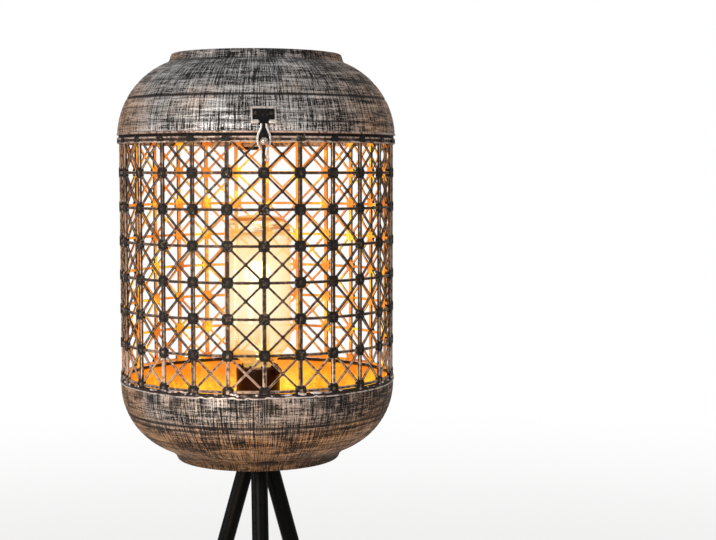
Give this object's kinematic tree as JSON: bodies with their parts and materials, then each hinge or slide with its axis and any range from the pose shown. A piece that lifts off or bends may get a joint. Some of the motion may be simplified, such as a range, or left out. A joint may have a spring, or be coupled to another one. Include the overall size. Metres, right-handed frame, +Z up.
{
  "type": "lantern floor lamp",
  "caption": "Round metal lantern with an open lattice shade, a hinged domed lid with a ball-and-tongue clasp, and a tubular bulb, on three splayed round legs.",
  "frame": {"origin": "on the floor, under the middle of the whole lamp's outline; the lantern's own axis stands 48.90 mm behind it", "axes": "+Z up, -Y towards the front where the clasp is, +X to the right seen from the front"},
  "size_m": [0.3826, 0.3432, 1.0229],
  "materials": {
    "black_paint": "satin",
    "silver_leaf": "hand-rubbed silver over black, brushed both ways",
    "dark_bronze": "oxidised dark, worn at its edges",
    "rim_metal": "oxidised, worn bright at its edges",
    "worn_steel": "worn",
    "plain_steel": "zinc plated",
    "plain_brass": "bare",
    "phenolic": "polished",
    "ceramic": "unglazed",
    "black_rubber": "matte",
    "nickel": "plated",
    "black_glass": "smooth",
    "clear_glass": "clear",
    "stem_glass": "clear",
    "lit_rod": "lit"
  },
  "bodies": {
    "stand": {"leg_front": "black_paint", "leg_right": "black_paint", "leg_left": "black_paint", "leg_tips": "black_paint", "leg_studs": "plain_steel", "tripod_hub": "black_paint", "hub_screws": "plain_steel", "hub_nuts": "plain_steel", "base_ring": "dark_bronze", "bowl": "silver_leaf", "rim_ring": "rim_metal", "shade_lattice": "dark_bronze", "top_band": "dark_bronze", "cord_bush": "black_rubber", "socket_bracket": "plain_steel", "bracket_screws": "plain_steel", "socket_nipple": "plain_brass", "nipple_nut": "plain_brass", "socket_cap": "phenolic", "socket_shell": "phenolic", "socket_core": "ceramic", "screw_shell": "plain_brass", "centre_contact": "plain_brass", "bulb_cap": "nickel", "bulb_insulator": "black_glass", "bulb_contact": "nickel", "bulb_glass": "clear_glass", "bulb_stem": "stem_glass", "filament_wires": "nickel", "bulb_filaments": "lit_rod", "clasp_stud": "worn_steel", "band_leaf": "dark_bronze", "band_leaf_rivets": "plain_steel", "hinge_pin": "plain_steel"},
    "lid": {"lid_dome": "silver_leaf", "lid_neck": "dark_bronze", "lid_leaf": "dark_bronze", "lid_leaf_rivets": "plain_steel", "clasp_plate": "dark_bronze", "clasp_rivets": "plain_steel", "clasp_pin": "plain_steel"},
    "tongue": {"clasp_tongue": "worn_steel"},
    "key": {"switch_key": "phenolic"}
  },
  "joints": [
    {"name": "lid_hinge", "type": "hinge", "parent": "stand", "child": "lid", "pos_m": [0, 0.16911, 0.953], "axis": [-1, 0, 0], "range_deg": [0, 100]},
    {"name": "clasp_swing", "type": "hinge", "parent": "lid", "child": "tongue", "pos_m": [0, -0.0691, 0.9635], "axis": [-1, 0, 0], "range_deg": [0, 110]},
    {"name": "switch_turn", "type": "hinge", "parent": "stand", "child": "key", "pos_m": [0.01308, 0.03582, 0.755], "axis": [0.5792, -0.5792, 0.5736], "continuous": true}
  ]
}
